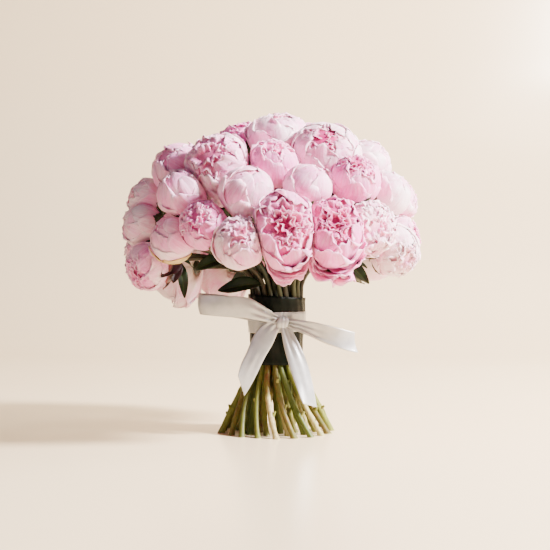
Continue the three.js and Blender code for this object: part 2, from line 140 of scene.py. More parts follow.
class Finish:
    # a material that is built up node by node
    def __init__(self, name):
        self.material = bpy.data.materials.new(name)
        self.material.use_nodes = True
        self.tree = self.material.node_tree
        self.shader = self.tree.nodes["Principled BSDF"]

    def node(self, kind, settings=None, inputs=None, output=0):
        made = self.tree.nodes.new(kind)
        for key, value in (settings or {}).items():
            if key == "stops":
                ramp = made.color_ramp
                while len(ramp.elements) < len(value):
                    ramp.elements.new(1.0)
                for element, (place, colour) in zip(ramp.elements, value):
                    element.position = place
                    element.color = colour
            else:
                setattr(made, key, value)
        for key, value in (inputs or {}).items():
            plug(self.tree, made.inputs[key], value)
        return Signal(self.tree, made.outputs[output])

    def mix(self, share, one, other, blend="MIX"):
        settings = {"data_type": "RGBA", "blend_type": blend}
        return self.node("ShaderNodeMix", settings, {0: share, 6: one, 7: other}, 2)

    def stretched(self, coordinates, scale):
        return self.node("ShaderNodeMapping", None, {"Vector": coordinates, "Scale": scale})

    def noise(self, coordinates, scale, detail=2.0, rough=0.5):
        inputs = {"Vector": coordinates, "Scale": scale, "Detail": detail, "Roughness": rough}
        return self.node("ShaderNodeTexNoise", None, inputs)

    def object(self):
        return self.node("ShaderNodeTexCoord", None, None, "Object")

    def uv(self):
        return self.node("ShaderNodeTexCoord", None, None, "UV")

    def parts(self, vector):
        made = self.tree.nodes.new("ShaderNodeSeparateXYZ")
        plug(self.tree, made.inputs[0], vector)
        return [Signal(self.tree, socket) for socket in made.outputs]

    def attribute(self, name):
        # its three parts and its alpha
        made = self.tree.nodes.new("ShaderNodeAttribute")
        made.attribute_name = name
        vector = Signal(self.tree, made.outputs["Vector"])
        return self.parts(vector) + [Signal(self.tree, made.outputs["Alpha"])]

    def bump(self, height, strength, distance):
        return self.node("ShaderNodeBump", None,
                         {"Height": height, "Strength": strength, "Distance": distance})

    def finish(self, **sockets):
        for key, value in sockets.items():
            plug(self.tree, self.shader.inputs[key.replace("_", " ")], value)
        return self.material


def addGrid(name, columns, rows, material):
    # a flat grid to shape: x runs across it from -1 to 1, and y along it
    bpy.ops.mesh.primitive_grid_add(x_subdivisions=columns, y_subdivisions=rows, size=2)
    grid = bpy.context.object
    grid.name = name
    grid.data.materials.append(material)
    bpy.ops.object.shade_smooth()
    return grid


def pointsOf(template):
    flat = np.empty(len(template.data.vertices) * 3)
    template.data.vertices.foreach_get("co", flat)
    return flat.reshape(-1, 3)


def places(template):
    # across (-1 to 1) and along (0 to 1) of each point of a flat grid
    flat = pointsOf(template)
    return flat[:, 0], (flat[:, 1] + 1) / 2


def shaped(template, name, points, marks=None):
    # a copy of a template with its points moved, and with an attribute of four numbers a point
    mesh = template.data.copy()
    mesh.vertices.foreach_set("co", points.ravel())
    if marks is not None:
        attribute = mesh.attributes.new(name, "FLOAT_COLOR", "POINT")
        attribute.data.foreach_set("color", np.ascontiguousarray(marks).ravel())
    piece = bpy.data.objects.new(name, mesh)
    bpy.context.collection.objects.link(piece)
    return piece


def marked(count, *values):
    # each point's marks, of values that are one for all the points or one for each
    return np.stack([np.broadcast_to(value, count) for value in values], axis=1)


def joined(pieces, name):
    bpy.ops.object.select_all(action="DESELECT")
    for piece in pieces:
        piece.select_set(True)
    bpy.context.view_layer.objects.active = pieces[0]
    if len(pieces) > 1:
        bpy.ops.object.join()
    whole = bpy.context.object
    whole.name = name
    whole.data.name = name
    return whole


def thickened(piece, thickness, offset=0):
    bpy.context.view_layer.objects.active = piece
    modifier = piece.modifiers.new("thickness", "SOLIDIFY")
    modifier.thickness = thickness
    modifier.offset = offset
    bpy.ops.object.modifier_apply(modifier=modifier.name)
    return piece


def discard(*templates):
    for template in templates:
        bpy.data.objects.remove(template)


def placed(piece, slot, *nodes):
    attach(piece, "root")
    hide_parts(*nodes)


# the dome that the blooms sit on, in metres, and how they press on each other
layout = {
    "domeWide": 0.150,
    "domeTall": 0.130,
    "domeHeight": 0.243,
    "facingHeight": 0.205,
    "bloomGap": 0.0004,
    "freeShare": 0.8,  # of the way to a neighbour that a petal keeps its shape
    "baseAngle": 25,  # degrees from a bloom's stem to the rim of its flat base
}

# each bloom: degrees round the bunch and up the dome, reach as a share of the dome, diameter, kind, how
# pink, and where a bloom is leant over, the degrees round and up that it faces
bloomTable = [
    (60, 88, 0.97, 0.080, "wide", 0.12, -80, 82),
    (128, 63, 1.06, 0.062, "open", 0.75),
    (-133, 41, 0.89, 0.088, "cup", 0.25, -125, 36),
    (-94, 51, 0.82, 0.063, "cup", 0.62, -90, 60),
    (-30, 60, 0.92, 0.086, "wide", 0.08, -75, 52),
    (14, 42, 1.08, 0.062, "ball", 0.10),
    (-41, 31, 0.95, 0.063, "cup", 0.60),
    (-73, 27, 0.90, 0.057, "ball", 0.32),
    (-15, 23, 1.02, 0.058, "ball", 0.05),
    (13, 19, 1.10, 0.060, "cup", 0.30),
    (8, -1, 1.04, 0.066, "open", 0.35),
    (-23, -8, 1.04, 0.064, "cup", 0.05, -30, -5),
    (-42, 3, 0.97, 0.066, "open", 0.15),
    (-65, 0, 1.00, 0.072, "hanging", 0.70, -70, 14),
    (-87, 1, 1.00, 0.078, "hanging", 0.50, -84, 8),
    (-106, 23, 0.90, 0.066, "ball", 0.25),
    (-105, -5, 1.06, 0.061, "cup", 0.18, -100, 10),
    (-124, 4, 1.00, 0.058, "cup", 0.80),
    (-144, -2, 1.00, 0.058, "ball", 0.48, -150, 20),
    (-142, 21, 1.00, 0.064, "ball", 0.32),
    (-166, 37, 1.04, 0.068, "ball", 0.38),
    (-178, 18, 1.12, 0.056, "cup", 0.22),
    (-163, -15, 1.12, 0.060, "cup", 0.48, -160, -12),
    (-170, 5, 1.12, 0.054, "ball", 0.12),
    (170, -6, 1.14, 0.062, "open", 0.12),
    (149, -16, 1.05, 0.072, "hanging", 0.04, 152, 0),
    (120, -15, 0.98, 0.074, "hanging", 0.08, 117, 4),
    (92, -6, 1.00, 0.078, "cup", 0.40),
    (62, -4, 1.02, 0.076, "open", 0.60),
    (34, -8, 1.00, 0.074, "ball", 0.15),
    (150, 19, 1.02, 0.076, "cup", 0.30),
    (114, 22, 1.00, 0.078, "ball", 0.10),
    (79, 20, 0.98, 0.076, "open", 0.60),
    (45, 22, 1.00, 0.074, "cup", 0.25),
    (50, 46, 1.00, 0.070, "ball", 0.20),
    (90, 45, 0.97, 0.076, "cup", 0.50),
    (127, 42, 0.98, 0.068, "ball", 0.15),
    (160, 44, 0.97, 0.070, "open", 0.30),
    (40, 67, 0.98, 0.066, "ball", 0.35),
    (178, 57, 0.88, 0.062, "ball", 0.30),
]

pinkRows = (1, 3, 6, 13, 17, 18, 22, 26, 28, 32, 35)  # of the pinker kind of peony
# how hard some rows' blooms press on their neighbours, and how far some hang
pushes = {2: 1.08, 4: 1.1, 6: 1.03, 9: 0.92, 13: 1.06, 14: 1.12, 15: 0.95, 18: 1.05, 22: 1.06}
hangShares = {14: 0.95, 25: 0.8, 26: 0.4}
hangTurns = {14: -15}  # degrees
smoothHanging = (25, 26)  # rows with smoother hanging petals and no sepals
# how much pinker their hearts are than the petals outside
heartTints = {2: 0.14, 4: 0.25, 6: 0.25, 13: 0.5, 14: 0.22, 16: 0.08, 17: -0.3}

bloomKinds = {
    "ball": {"deep": 0.93, "tall": 1, "sink": 0.0, "core": 0.885},
    "wide": {"deep": 0.74, "tall": 1, "sink": 0.02, "core": 0.9},
    "cup": {"deep": 0.96, "tall": 1, "sink": 0.04, "core": 0.875},
    "open": {"deep": 0.88, "tall": 1, "sink": 0.06, "core": 0.87},
    "hanging": {"deep": 0.88, "tall": 1.18, "sink": 0.12, "core": 0.88},
}

# how much paler these rows' petals are than their blooms' pink
paler = {18: 0.2, 22: 0.16}
# how crumpled these rows' petals are beside the others
crumples = {2: 1.7, 4: 0.8, 6: 1.2, 7: 0.5, 8: 0.45, 12: 1.3, 15: 0.6, 18: 0.6, 19: 1.9, 20: 1.4, 25: 0.3,
            26: 0.35}

# where the mouths of these rows' blooms turn to, if not straight away from the stem: degrees round
# the bunch and up, and how crimson the heart is
mouths = {
    0: (-110, 70, 0.15),
    2: (-114, 24, 0.9),
    3: (-88, 62, 0.35),
    4: (-95, 32, 1.5),
    5: (-20, 50, 0.1),
    6: (-80, 62, 1.0),
    7: (-40, 58, 0.15),
    8: (-10, 60, 0.1),
    11: (-62, -28, 0.4),
    12: (-72, 12, 0.3),
    13: (-82, 34, 1.5),
    14: (-84, 16, 1.6),
    15: (-60, 50, 0.2),
    16: (-90, 32, 0.5),
    17: (-118, 32, 0.5),
    18: (-152, 32, 0.5),
    19: (-150, 60, 0.2),
    20: (-128, 30, 0.45),
    22: (-140, -24, 0.45),
}


def heading(around, up):
    level = math.cos(math.radians(up))
    around = math.radians(around)
    return np.array([level * math.cos(around), level * math.sin(around), math.sin(math.radians(up))])


def unit(vector):
    return vector / np.linalg.norm(vector)


def unitRows(vectors):
    return vectors / np.linalg.norm(vectors, axis=1)[:, None]


def stray(dice, most, count=None):
    # up to so much to either side
    return dice.uniform(-most, most, count)


def layBloom(row, number):
    around, up, reach, across, kind, pink = row[:6]
    centre = heading(around, up) * reach
    centre *= (layout["domeWide"], layout["domeWide"], layout["domeTall"])
    centre[2] += layout["domeHeight"]
    axis = heading(*row[6:]) if len(row) > 6 else unit(centre - (0, 0, layout["facingHeight"]))
    side = np.cross((0, 0, 1), axis)
    if np.linalg.norm(side) < 0.2:
        side = -np.cross((1, 0, 0), axis)
    side = unit(side)
    shape = bloomKinds[kind]
    radius = across / 2
    mouth = mouths.get(number)
    turned = heading(*mouth[:2]) if mouth else axis
    tilt = math.acos(np.clip(axis @ turned, -1, 1))
    hinge = unit(np.cross(axis, turned)) if tilt > 0.01 else side
    return {
        "number": number, "kind": kind, "pink": pink, "around": around, "up": up,
        "centre": centre, "axis": axis, "side": side, "rise": np.cross(axis, side),
        "radius": radius, "tall": radius * shape["tall"], "deep": radius * shape["deep"],
        "tilt": tilt, "hinge": hinge, "sink": shape["sink"], "blush": mouth[2] if mouth else 0.3,
        "crumpled": crumples.get(number, 1), "core": shape["core"],
        "push": pushes.get(number, 1), "hang": hangShares.get(number, 1),
        "dice": np.random.default_rng(100 + number),
    }


def reachOf(bloom, out):
    parts = [out @ bloom["side"] / bloom["radius"], out @ bloom["rise"] / bloom["tall"],
             out @ bloom["axis"] / bloom["deep"]]
    return 1 / np.sqrt(parts[0] ** 2 + parts[1] ** 2 + parts[2] ** 2)


def layWalls(bloom, blooms):
    # the planes between a bloom and its neighbours, as normals and distances from its centre
    normals, distances = [], []
    for other in blooms:
        if other is bloom:
            continue
        apart = other["centre"] - bloom["centre"]
        normal = unit(apart)
        mine = reachOf(bloom, normal) * bloom["push"]
        theirs = reachOf(other, normal) * other["push"]
        normals.append(normal)
        distances.append(np.linalg.norm(apart) * mine / (mine + theirs) - layout["bloomGap"] / 2)
    bloom["walls"] = np.array(normals), np.array(distances)


def press(points, bloom):
    # presses points back from the neighbours, the more the nearer they come to them
    out = points - bloom["centre"]
    far = np.linalg.norm(out, axis=1)
    out /= far[:, None]
    normals, distances = bloom["walls"]
    slopes = np.maximum(out @ normals.T, 0.01)
    limit = (distances / slopes).min(axis=1)
    free = layout["freeShare"] * limit
    room = limit - free
    pressed = free + room * (1 - np.exp(np.minimum(free - far, 0) / room))
    return bloom["centre"] + out * np.where(far > free, pressed, far)[:, None]


# columns and rows of the grids that petals are shaped from
petalGrids = {"petal": (14, 10), "ruffle": (16, 5)}

# each layer of petals: how many, the degrees from the stem to their base and their tips, how much the
# tips stray, their half width, the shares of the bloom's radius at base, middle and tip, how far one
# edge lies over the next petal, and the height and number of waves
petalLayers = {
    "ball": [
        (5, 14, 118, 10, 50, 0.94, 0.99, 0.992, 0.030, 0.020, 1.4),
        (5, 42, 146, 10, 46, 0.90, 0.955, 0.965, 0.030, 0.024, 1.6),
        (4, 88, 172, 9, 46, 0.86, 0.930, 0.935, 0.030, 0.034, 2.0),
    ],
    "wide": [
        (5, 14, 110, 9, 50, 0.94, 0.99, 0.995, 0.030, 0.020, 1.4),
        (5, 42, 134, 9, 46, 0.90, 0.955, 0.970, 0.030, 0.030, 1.8),
        (5, 80, 158, 9, 40, 0.85, 0.925, 0.950, 0.030, 0.045, 2.2),
    ],
    "cup": [
        (5, 14, 110, 10, 50, 0.94, 0.98, 1.000, 0.032, 0.024, 1.4),
        (5, 42, 132, 10, 46, 0.89, 0.945, 0.975, 0.032, 0.038, 1.9),
        (6, 85, 148, 10, 36, 0.83, 0.915, 0.960, 0.030, 0.055, 2.6),
    ],
    "open": [
        (6, 16, 96, 9, 44, 0.94, 0.98, 1.060, 0.026, 0.036, 1.8),
        (7, 44, 116, 10, 42, 0.88, 0.930, 1.020, 0.026, 0.055, 2.4),
        (8, 80, 134, 10, 34, 0.84, 0.900, 0.990, 0.026, 0.070, 3.0),
    ],
    "hanging": [
        (6, 16, 92, 8, 44, 0.94, 0.98, 1.040, 0.026, 0.036, 1.8),
        (7, 46, 116, 10, 46, 0.88, 0.940, 1.015, 0.026, 0.045, 2.0),
        (7, 74, 136, 10, 40, 0.85, 0.925, 1.000, 0.026, 0.055, 2.4),
    ],
}

# crumpled petals that stand on edge in the mouth: how many, how far from its middle in degrees,
# the shares of the radius at their bottom and top, and their half length in degrees
ruffles = {
    "ball": (9, 24, 0.80, 0.95, 14),
    "wide": (14, 36, 0.78, 0.97, 16),
    "cup": (26, 46, 0.76, 0.99, 18),
    "open": (44, 68, 0.75, 1.00, 19),
    "hanging": (32, 50, 0.72, 1.00, 21),
}

# petals that hang below a bloom: degrees round it, half width, how much longer
hangingPetals = [
    (-142, 32, 0.10),
    (-118, 34, 0.20),
    (-90, 36, 0.22),
    (-60, 34, 0.17),
    (-138, 30, 0.16),
    (-107, 27, 0.42),
    (-78, 29, 0.38),
    (-46, 30, 0.24),
]

petal = {
    "thickness": 0.0005,
    "widestAt": 0.6,  # share of the way to the tip
    "baseWidth": 0.5,  # as a share of the widest
    "tipRound": 0.76,
    "cornerDrop": 15,  # degrees that the tip's corners stay behind its middle
    "hangDrop": 40,  # the same on a hanging petal
    "curl": 40,  # degrees of a wave for a unit of its height
    "fringe": 3.4,  # degrees
    "crumple": 0.009,
    "bulge": 0.07,
    "lifted": (0, 0, 0, 0.03, 0.06),  # how far tips stand off, as shares of the radius
    "flare": (0.2, 0.1),  # of a hanging bloom's first two layers
    "widths": (0.92, 1.08),  # as shares of the layer's
    "stray": 0.008,  # in and out, as a share of the radius
    "tintStray": 0.08,
    "bloomTurn": 47,  # degrees from one bloom to the next, and from one layer to the next
    "layerTurn": 31,
    "turnStray": 7,
}

# how one crumpled petal differs from the next: turns in degrees, waves in number, lengths and heights as
# shares of the kind's own, and the rest as shares of the bloom's radius
ruffle = {
    "turn": 137.5,
    "turnStray": 14,
    "skew": 34,
    "lengths": (0.7, 1.25),
    "heights": (0.93, 1.025),
    "waves": (1.4, 3.0),
    "bows": (0.05, 0.2),
    "falls": (-0.30, -0.04),
    "sway": 0.05,
    "dip": 0.09,
    "roll": 0.02,
    "fringe": 0.028,
}


def smooth(x):
    x = np.clip(x, 0, 1)
    return x * x * (3 - 2 * x)


def settle(bloom, out, share):
    # points at a share of a bloom's radius. out is from the stem's end (-z) to the mouth (+z),
    # and turns over from the bloom's own direction to its mouth's on the way
    polar = np.arccos(np.clip(-out[:, 2], -1, 1))
    angle = (bloom["tilt"] * smooth(polar / math.radians(140)))[:, None]
    flat = (np.outer(out[:, 0], bloom["side"]) + np.outer(out[:, 1], bloom["rise"])
            + np.outer(out[:, 2], bloom["axis"]))
    hinge = bloom["hinge"]
    out = (flat * np.cos(angle) + np.cross(hinge, flat) * np.sin(angle)
           + np.outer(flat @ hinge, hinge) * (1 - np.cos(angle)))
    points = bloom["centre"] + out * (reachOf(bloom, out) * share)[:, None]
    along = (points - bloom["centre"]) @ bloom["axis"]
    lowest = -math.cos(math.radians(layout["baseAngle"])) * bloom["deep"]
    points += np.outer(np.maximum(lowest - along, 0), bloom["axis"])
    return press(points, bloom)


def nearMouth(out):
    return smooth((np.degrees(np.arccos(np.clip(-out[:, 2], -1, 1))) - 112) / 58)


def swung(turn, up, swing):
    # directions in a bloom: up from its stem along a petal's middle, swung to the side
    turn, up, swing = np.radians(turn), np.radians(up), np.radians(swing)
    level = np.cos(swing) * np.sin(up)
    return np.stack([level * np.cos(turn) - np.sin(swing) * np.sin(turn),
                     level * np.sin(turn) + np.sin(swing) * np.cos(turn),
                     -np.cos(swing) * np.cos(up)], axis=1)


def petalOutline(u, v, wide):
    # half width along a petal
    rising = petal["baseWidth"] + (1 - petal["baseWidth"]) * np.sin(
        np.minimum(v / petal["widestAt"], 1) * math.pi / 2)
    past = np.maximum(v - petal["widestAt"], 0) / (1 - petal["widestAt"])
    return wide * u * rising * np.sqrt(1 - petal["tipRound"] * past ** 2)


def markPetal(bloom, out, rim, depth, tint):
    # how near the rim, how deep down, how crimson and how pink each point is
    crimson = bloom["blush"] * nearMouth(out) * (0.34 + 0.66 * depth)
    return marked(len(out), rim, depth, crimson, tint)


def formPetal(bloom, layer, turn, u, v, longer=0, lift=0):
    _, base, tip, tipStray, wide, low, middle, high, lean, wave, waves = layer
    dice = bloom["dice"]
    tip = tip + tipStray * dice.uniform(-1, 1)
    wide = wide * dice.uniform(*petal["widths"])
    lift = lift + stray(dice, petal["stray"])
    first, second, third = dice.uniform(0, 2 * math.pi, 3)
    lifted = dice.choice(petal["lifted"])
    edge = np.abs(u)
    swell = wave * bloom["crumpled"] * v ** 1.6 * (0.35 + 0.65 * edge ** 1.2)
    ripple = np.sin(math.pi * waves * u + first) + 0.5 * np.sin(2.3 * math.pi * waves * u + second)
    roll = np.cos(math.pi * waves * 0.8 * u + second)
    fringe = petal["fringe"] * bloom["crumpled"] * v ** 6 * (
        np.abs(np.sin(4 * u + third)) + 0.4 * np.sin(9 * u + first))
    drop = petal["hangDrop"] * min(0.3 + bloom["crumpled"], 1) if longer > 0.2 else petal["cornerDrop"]
    up = base + (tip - base) * v - drop * v ** 2 * edge ** 2.2 - fringe + petal["curl"] * swell * roll
    bend = 2 * middle - (low + high) / 2
    share = low * (1 - v) ** 2 + 2 * bend * v * (1 - v) + high * v ** 2 + lift + lifted * v ** 3
    share = share + petal["bulge"] * (0.6 - u ** 2) * np.sin(math.pi * np.minimum(v * 1.15, 1))
    crumple = (np.sin(7 * u + 4 * v + first) + np.sin(9 * v - 5 * u + second)
               + np.sin(11 * u - 3 * v + third)) * petal["crumple"] * bloom["crumpled"] * np.sqrt(v)
    share = (share + lean * u * (0.4 + 0.6 * v) + swell * ripple + crumple) * (1 + longer * v ** 2.2)
    out = swung(turn, up, petalOutline(u, v, wide))
    tint = bloom["pink"] * (0.72 + 0.3 * nearMouth(out))
    tint = tint + stray(dice, petal["tintStray"])
    tint = tint - paler.get(bloom["number"], 0)
    rim = 0.55 * np.maximum(edge ** 8 * np.minimum(1, 2.5 * v), v ** 12)
    return settle(bloom, out, share - bloom["sink"] * nearMouth(out)), markPetal(
        bloom, out, rim, 1 - v, tint)


def formRuffle(bloom, number, u, v):
    count, cap, low, high, length = ruffles[bloom["kind"]]
    dice = bloom["dice"]
    away = cap * math.sqrt((number + 0.4) / count) * dice.uniform(0.9, 1.1)
    turn = ruffle["turn"] * number + stray(dice, ruffle["turnStray"])
    middle = swung(turn, 180 - away, np.zeros(1))[0]
    east = swung(turn + 90, 90, np.zeros(1))[0]
    north = np.cross(middle, east)
    skew = math.radians(dice.normal(0, ruffle["skew"]))
    along = east * math.cos(skew) + north * math.sin(skew)
    over = north * math.cos(skew) - east * math.sin(skew)
    length = math.radians(length * dice.uniform(*ruffle["lengths"]))
    waves = dice.uniform(*ruffle["waves"])
    first, second = dice.uniform(0, 2 * math.pi, 2)
    bow = dice.uniform(*ruffle["bows"]) * length / 0.4
    sway = ruffle["sway"] * np.sin(math.pi * waves * u + first) * (0.45 + 0.75 * v) + bow * u ** 2
    fall = dice.uniform(*ruffle["falls"]) * v ** 1.7
    out = unitRows(middle + np.outer(u * length * (0.7 + 0.3 * v), along) + np.outer(sway + fall, over))
    high = high * dice.uniform(*ruffle["heights"])
    share = low + (high - low) * v - ruffle["dip"] * u ** 2 * v
    share = share + ruffle["roll"] * np.sin(math.pi * 3.3 * u + second) * v ** 3
    share = share + ruffle["fringe"] * np.abs(np.sin(7.5 * u + first)) * v ** 4
    tint = bloom["pink"] + dice.uniform(-0.12, 0.1) + heartTints.get(bloom["number"], 0)
    rim = v ** 5 * (0.6 + 0.4 * np.sin(4.5 * u + second))
    return settle(bloom, out, share - bloom["sink"] * nearMouth(out)), markPetal(
        bloom, out, rim, 1 - v, tint)


def makePetalFinish(name):
    f = Finish(name)
    rim, depth, crimson, tint = f.attribute("petal")
    cloud = f.noise(f.object(), 48.0, 3.0)
    crinkle = f.noise(f.object(), 210.0, 2.0)
    streaks = f.noise(f.stretched(f.uv(), (30.0, 2.0, 1.0)), 1.0, 3.0, 0.6)
    body = f.node("ShaderNodeValToRGB", {"stops": [
        (0.0, tone(253, 216, 230)), (0.12, tone(249, 186, 214)), (0.3, tone(244, 149, 201)),
        (0.65, tone(234, 104, 180)), (1.0, tone(224, 70, 158))]}, {"Fac": tint + (cloud - 0.5) * 0.8})
    flush = f.mix((depth ** 1.4 * (0.3 + 0.5 * tint)).clamped(), body, tone(222, 84, 146))
    creamy = f.mix(depth.between(0.5, 0.95) * (0.45 - tint).clamped() * 1.6, flush, tone(244, 220, 188))
    inside = f.mix((crimson * 1.1).clamped(), creamy, tone(170, 10, 100))
    veined = f.mix(streaks.between(0.5, 0.8) * 0.55, inside, tone(238, 150, 190), "MULTIPLY")
    pale = f.mix((0.5 - streaks).clamped() * (1 - depth) * 1.3, veined, tone(255, 238, 242))
    edged = f.mix(rim * (0.6 - 0.3 * tint), pale, tone(255, 236, 240))
    height = streaks + crinkle * 0.45 + cloud * 0.8
    return f.finish(
        Base_Color=edged, Roughness=0.42 + cloud * 0.2, Normal=f.bump(height, 0.55, 0.0011),
        Specular_IOR_Level=0.35, Sheen_Weight=0.15, Subsurface_Weight=0.35,
        Subsurface_Radius=(1.0, 0.5, 0.6), Subsurface_Scale=0.005)


def makeBloom(bloom, grids, core):
    kind, dice = bloom["kind"], bloom["dice"]
    pieces = []
    start = -90 if kind == "hanging" else petal["bloomTurn"] * bloom["number"]
    u, v = places(grids["petal"])
    for depth, layer in enumerate(petalLayers[kind]):
        for k in range(layer[0]):
            turn = start + petal["layerTurn"] * depth + 360 / layer[0] * k
            turn = turn + stray(dice, petal["turnStray"])
            longer = 0.0
            if kind == "hanging" and depth < 2:
                longer = petal["flare"][depth] * max(0, -math.sin(math.radians(turn)))
            pieces.append(shaped(grids["petal"], "petal", *formPetal(bloom, layer, turn, u, v, longer)))
    if kind == "hanging":
        for turn, wide, longer in hangingPetals:
            smoothly = bloom["number"] in smoothHanging
            wave, wide = (0.006, wide * 1.25) if smoothly else (0.026, wide)
            layer = (1, 18, 88, 4, wide, 0.95, 0.99, 1.0, 0.02, wave, 1.6)
            turn += dice.uniform(-6, 6) + hangTurns.get(bloom["number"], 0)
            longer *= bloom["hang"] * dice.uniform(0.85, 1.1)
            formed = formPetal(bloom, layer, turn, u, v, longer, 0.01)
            pieces.append(shaped(grids["petal"], "petal", *formed))
    u, v = places(grids["ruffle"])
    for number in range(ruffles[kind][0]):
        pieces.append(shaped(grids["ruffle"], "petal", *formRuffle(bloom, number, u, v)))
    petals = thickened(joined(pieces, "petals"), petal["thickness"], -1)
    out = unitRows(pointsOf(core))
    share = bloom["core"] - bloom["sink"] * 1.5 * nearMouth(out)
    marks = markPetal(bloom, out, 0, 0.6, bloom["pink"])
    return joined([petals, shaped(core, "petal", settle(bloom, out, share), marks)], "petals")


def makeBlooms():
    blooms = [layBloom(row, number) for number, row in enumerate(bloomTable)]
    for bloom in blooms:
        layWalls(bloom, blooms)
    for slot in ("petal_pale", "petal_pink"):
        finish = makePetalFinish(slot.replace("_p", "P"))
        grids = {name: addGrid(name + "Grid", *size, finish) for name, size in petalGrids.items()}
        bpy.ops.mesh.primitive_ico_sphere_add(subdivisions=3, radius=1)
        core = bpy.context.object
        core.data.materials.append(finish)
        bpy.ops.object.shade_smooth()
        for bloom in blooms:
            if (bloom["number"] in pinkRows) == (slot == "petal_pink"):
                node = f"bloom_{bloom['number'] + 1:02d}"
                piece = makeBloom(bloom, grids, core)
                piece.name = piece.data.name = node + "_petals"
                placed(piece, slot, node)
        discard(core, *grids.values())
    print("blooms made:", len(blooms))
    return blooms


bareStems, redStems = (22, 16), (22, 1)  # rows whose stems are peeled near the foot, and reddish
# stems, spiralled through the tie: lengths in metres and turns in degrees
ties = {
    "bareBelow": 0.05,
    "stemRadius": 0.0037,
    "radii": (0.82, 1.12),  # as shares of it
    "slimmer": 0.78,  # above the tie
    "joints": (1.1, 1.3),  # how much thicker a stem is at its joints
    "feet": ((1.12, 1.4), (0.95, 1.1)),  # and at its cut foot and just over it
    "footSway": 0.0015,
    "footStray": 0.0035,
    "stemSides": 10,
    "fusedPitch": 0.0062,
    "innerRing": 0.0085,
    "middleRing": 0.017,
    "outerRing": 0.0253,
    "footRing": 0.070,
    "topRing": 0.030,
    "low": 0.084,
    "high": 0.173,
    "waist": 0.128,
    "footTurn": 35,
    "topTurn": 28,
    "leaving": 0.4,
    "arriving": 0.35,
    "calyxDeep": 0.004,
    "calyxWide": 0.0095,
    "calyxSteps": (0.0024, 0.0012, 0.0004),  # below a bloom's base
    "calyxFlare": (0.5, 0.85, 1),
    "footSteps": 16,
    "tieSteps": 5,
    "topSteps": 15,
}


def layRing(radius, sizes, firstGroup, start):
    # the places of a ring of stems, parted into groups that are pressed together
    pitch = 360 / sum(sizes)
    fused = math.degrees(2 * math.asin(ties["fusedPitch"] / 2 / radius))
    found, used = [], 0
    for number, size in enumerate(sizes):
        middle = start + pitch * (used + (size - 1) / 2)
        for i in range(size):
            around = middle + fused * (i - (size - 1) / 2)
            found.append({"radius": radius, "around": around, "group": firstGroup + number})
        used += size
    return found


def layTie():
    inner = layRing(ties["innerRing"], [2, 2, 2], 0, 0)
    for place in inner[:2]:
        place["radius"] = ties["fusedPitch"]
    middle = layRing(ties["middleRing"], [3, 3, 3, 2, 2], 3, 2)
    outer = layRing(ties["outerRing"], [2] * 10, 8, 0)
    return [{"radius": 0, "around": 0, "group": 0}], inner, middle, outer


def assignStems(blooms):
    # the higher a bloom sits, the nearer the middle its stem is, then in order round the bunch
    byHeight = sorted(blooms, key=lambda bloom: -bloom["up"])
    used = 0
    for slots in layTie():
        members = sorted(byHeight[used:used + len(slots)], key=lambda bloom: bloom["around"])
        used += len(slots)

        def cost(shift):
            return sum(1 - math.cos(math.radians(
                bloom["around"] - slots[(i + shift) % len(slots)]["around"] + ties["topTurn"]))
                for i, bloom in enumerate(members))

        best = min(range(len(slots)), key=cost)
        for i, bloom in enumerate(members):
            bloom["place"] = slots[(i + best) % len(slots)]


def spreadAt(z):
    below = max(0, (ties["low"] - z) / ties["low"])
    above = max(0, (z - ties["low"]) / (ties["high"] - ties["low"]))
    return (1 + (ties["footRing"] / ties["outerRing"] - 1) * below
            + (ties["topRing"] / ties["outerRing"] - 1) * above)


def tiePoint(place, z):
    reach = place["radius"] * spreadAt(z)
    turn = math.radians(place["around"] + ties["footTurn"] * (ties["waist"] - z) / ties["waist"])
    return np.array([math.cos(turn) * reach, math.sin(turn) * reach, z])


def calyxPoint(bloom, below):
    sunk = bloom["deep"] * math.cos(math.radians(layout["baseAngle"])) + below
    return bloom["centre"] - bloom["axis"] * sunk


def stemPoint(bloom, t):
    start = tiePoint(bloom["place"], ties["high"])
    lean = unit(start - tiePoint(bloom["place"], ties["high"] - 0.020))
    end = calyxPoint(bloom, ties["calyxDeep"])
    far = np.linalg.norm(end - start)
    first = start + lean * far * ties["leaving"]
    second = end - bloom["axis"] * far * ties["arriving"]
    rest = 1 - t
    return (start * rest ** 3 + first * 3 * rest ** 2 * t + second * 3 * rest * t ** 2 + end * t ** 3)


def addTube(name, rings, sides, material):
    # a tube to shape: its rings stand at heights 0, 1, 2 ... on a circle of radius 1
    bpy.ops.mesh.primitive_circle_add(vertices=sides, radius=1, fill_type="NGON")
    tube = bpy.context.object
    tube.name = name
    bpy.ops.object.mode_set(mode="EDIT")
    bpy.ops.mesh.select_all(action="SELECT")
    for _ in range(rings - 1):
        bpy.ops.mesh.extrude_region_move(TRANSFORM_OT_translate={"value": (0, 0, 1)})
    bpy.ops.mesh.select_all(action="SELECT")
    bpy.ops.mesh.normals_make_consistent(inside=False)
    bpy.ops.object.mode_set(mode="OBJECT")
    tube.data.materials.append(material)
    bpy.ops.object.shade_smooth_by_angle(angle=math.radians(50))
    return tube


def tubeRings(template):
    # the ring and the turn of each point of a tube
    flat = pointsOf(template)
    return np.rint(flat[:, 2]).astype(int), np.arctan2(flat[:, 1], flat[:, 0])


def sweep(line, radii, rings, turns, side):
    # the points of a tube round a line, its rings square to it
    along = unitRows(np.gradient(line, axis=0))
    first = unitRows(side - along * (along @ side)[:, None])
    second = np.cross(along, first)
    reach = radii[rings][:, None]
    return (line[rings] + first[rings] * np.cos(turns)[:, None] * reach
            + second[rings] * np.sin(turns)[:, None] * reach), along


